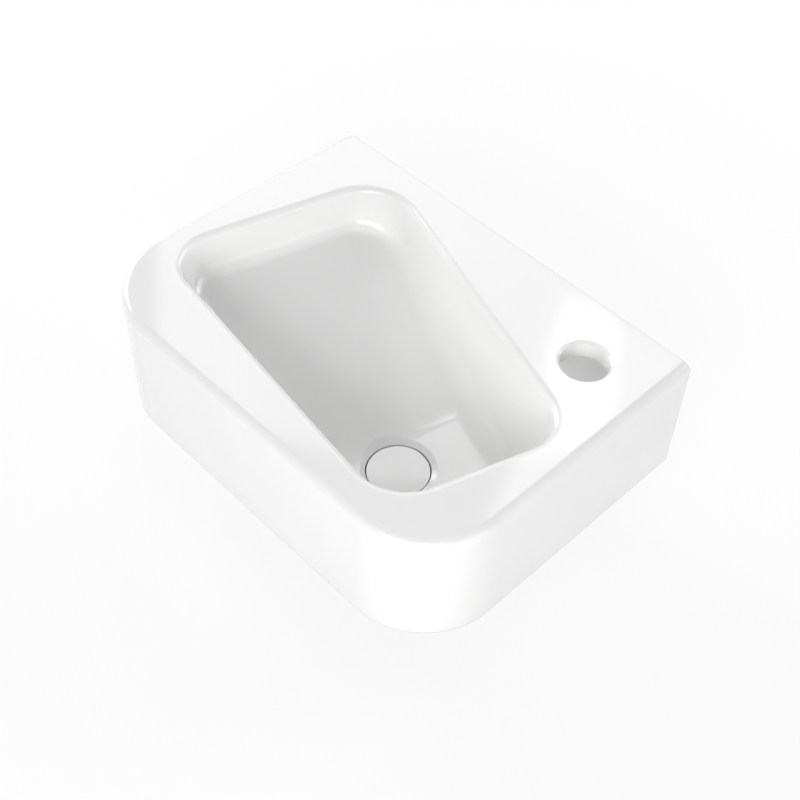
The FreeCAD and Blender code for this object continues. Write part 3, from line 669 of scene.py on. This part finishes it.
# Stage

MIDDLE = (0.0, -0.125)  # the middle of the basin's plan, in metres
AIM = (0.0, -0.12, 0.0)  # where the lamps round the basin point
LAMP_DISTANCE = 1.7  # from the middle to those lamps, in metres
SOFT_BOX = (0.9, 0.9)  # width and height of the large lamps, in metres
SHEEN_BOX = (0.27, 0.47)  # and of the one whose mirror image brightens the deck

# each lamp round the basin: degrees round it from its front, degrees up, size, watts
LAMPS = {
    "front_right": (45, 25, SOFT_BOX, 11.3),
    "front": (22, 25, SOFT_BOX, 11.0),
    "front_high": (0, 40, SOFT_BOX, 2.0),
    "right": (90, 10, SOFT_BOX, 3.4),
    "above": (90, 70, SOFT_BOX, 1.2),
    "left": (-90, 25, SOFT_BOX, 12.5),
    "left_low": (-90, 10, SOFT_BOX, 9.0),
    "rear_low": (180, 10, SOFT_BOX, 9.0),
    "rear_left": (-135, 40, SOFT_BOX, 5.8),
    "rear": (157, 25, SOFT_BOX, 8.8),
    "deck_sheen": (-157, 52, SHEEN_BOX, 1.2),
}

# the faint lamp that lies on the floor under the basin: height above the floor, size, watts
UNDER_LAMP = (0.002, (0.26, 0.18), 0.08)


def ring_place(azimuth, height):
    """A place round the basin: degrees round it from the front, degrees up."""
    around, up = math.radians(azimuth), math.radians(height)
    return (MIDDLE[0] + math.sin(around) * math.cos(up) * LAMP_DISTANCE,
            MIDDLE[1] - math.cos(around) * math.cos(up) * LAMP_DISTANCE,
            math.sin(up) * LAMP_DISTANCE)


def area_lamp(name, place, target, size, watts):
    """A soft rectangular lamp that points at a target and isn't seen itself."""
    data = bpy.data.lights.new(name, "AREA")
    data.shape = "RECTANGLE"
    data.size, data.size_y = size
    data.energy = watts
    lamp = bpy.data.objects.new(name, data)
    lamp.location = place
    way = Vector(target) - Vector(place)
    lamp.rotation_euler = way.to_track_quat("-Z", "Y").to_euler()
    lamp.visible_camera = False
    bpy.context.scene.collection.objects.link(lamp)


def make_floor(level):
    """A flat floor that looks white, fades into the surround from 0.4 to 1 m out, keeps a faint
    shadow, and is clear from below so that it hides nothing there."""
    half = 6.0
    mesh = bpy.data.meshes.new("floor")
    mesh.from_pydata([(-half, -half, level), (half, -half, level), (half, half, level),
                      (-half, half, level)], [], [(0, 1, 2, 3)])
    floor = bpy.data.objects.new("floor", mesh)
    bpy.context.scene.collection.objects.link(floor)
    material = bpy.data.materials.new("pale_floor")
    nodes = Nodes(material, "ShaderNodeOutputMaterial")
    pale = nodes.add("ShaderNodeBsdfPrincipled", {}, {
        "Base Color": (0.88, 0.88, 0.88, 1.0), "Roughness": 0.9})
    glow = nodes.add("ShaderNodeEmission", {}, {"Color": WHITE, "Strength": 1.0})
    fade = nodes.ramp(nodes.distance(), low=0.4, high=1.0, start=0.8, end=1.0)
    surface = nodes.add("ShaderNodeMixShader", {}, {0: nodes.looked_at() * fade, 1: pale, 2: glow})
    below = nodes.add("ShaderNodeNewGeometry", output="Backfacing")
    clear = nodes.add("ShaderNodeBsdfTransparent")
    nodes.show(nodes.add("ShaderNodeMixShader", {}, {0: below, 1: surface, 2: clear}))
    mesh.materials.append(material)


def make_surround(light):
    """A world that looks and mirrors white and lights the basin only a little."""
    world = bpy.data.worlds.new("surround")
    bpy.context.scene.world = world
    nodes = Nodes(world, "ShaderNodeOutputWorld")
    strength = nodes.looked_at().math("MAXIMUM", light)
    nodes.show(nodes.add("ShaderNodeBackground", {}, {"Color": WHITE, "Strength": strength}))


def make_camera(settings):
    """The camera at the photograph's place: its back, right and up axes, turned by the roll."""
    azimuth, elevation, roll = settings.azimuth, settings.elevation, settings.roll
    back = Vector((math.sin(azimuth) * math.cos(elevation),
                   -math.cos(azimuth) * math.cos(elevation), math.sin(elevation)))
    right = Vector((0, 0, 1)).cross(back).normalized()
    up = back.cross(right)
    across = math.cos(roll) * right + math.sin(roll) * up
    above = math.cos(roll) * up - math.sin(roll) * right
    data = bpy.data.cameras.new("camera")
    data.lens = settings.lens
    data.sensor_width = 36.0
    data.clip_start, data.clip_end = 0.05, 50.0
    camera = bpy.data.objects.new("camera", data)
    axes = Matrix((across, above, back)).transposed().to_4x4()
    camera.matrix_world = Matrix.Translation(settings.camera_place) @ axes
    bpy.context.scene.collection.objects.link(camera)
    bpy.context.scene.camera = camera


class BASIN_OT_stage(bpy.types.Operator):
    """Lay the floor and set the lamps, the surround and the camera"""

    bl_idname = "basin.stage"
    bl_label = "Stage"

    def execute(self, context):
        settings = context.scene.basin_stage
        make_floor(settings.floor_level)
        make_surround(settings.sky)
        for name, (azimuth, height, size, watts) in LAMPS.items():
            area_lamp(name, ring_place(azimuth, height), AIM, size, settings.lamp * watts)
        rise, size, watts = UNDER_LAMP
        area_lamp("underneath", (*MIDDLE, settings.floor_level + rise), (*MIDDLE, 0.0), size,
                  settings.lamp * watts)
        make_camera(settings)
        context.scene.view_settings.view_transform = "Standard"
        return {"FINISHED"}


class BASIN_PT_panel(bpy.types.Panel):
    """The basin's pieces and settings"""

    bl_idname = "BASIN_PT_panel"
    bl_label = "Corner basin"
    bl_space_type = "VIEW_3D"
    bl_region_type = "UI"
    bl_category = "Basin"

    def draw(self, context):
        scene, layout = context.scene, self.layout
        for group in (scene.basin_glaze, scene.basin_waste, scene.basin_stage):
            for name in group.__annotations__:
                layout.prop(group, name)
        for piece in PIECES:
            layout.operator(piece.bl_idname)


PIECES = (BASIN_OT_casting, BASIN_OT_cover, BASIN_OT_outlet, BASIN_OT_spring, BASIN_OT_seals,
          BASIN_OT_hardware, BASIN_OT_stage)
CLASSES = (GlazeSettings, WasteSettings, StageSettings, *PIECES, BASIN_PT_panel)


def register():
    """Add the operators, the panel and the settings."""
    for item in CLASSES:
        bpy.utils.register_class(item)
    bpy.types.Scene.basin_glaze = PointerProperty(type=GlazeSettings)
    bpy.types.Scene.basin_waste = PointerProperty(type=WasteSettings)
    bpy.types.Scene.basin_stage = PointerProperty(type=StageSettings)


def unregister():
    """Take the operators, the panel and the settings away again."""
    del bpy.types.Scene.basin_stage
    del bpy.types.Scene.basin_waste
    del bpy.types.Scene.basin_glaze
    for item in reversed(CLASSES):
        bpy.utils.unregister_class(item)


def main():
    """Register the add-on and make every piece and the stage."""
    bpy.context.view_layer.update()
    register()
    bpy.ops.basin.casting()
    bpy.ops.basin.cover()
    bpy.ops.basin.outlet()
    bpy.ops.basin.spring()
    bpy.ops.basin.seals()
    bpy.ops.basin.hardware()
    bpy.ops.basin.stage()


if __name__ == "__main__":
    main()
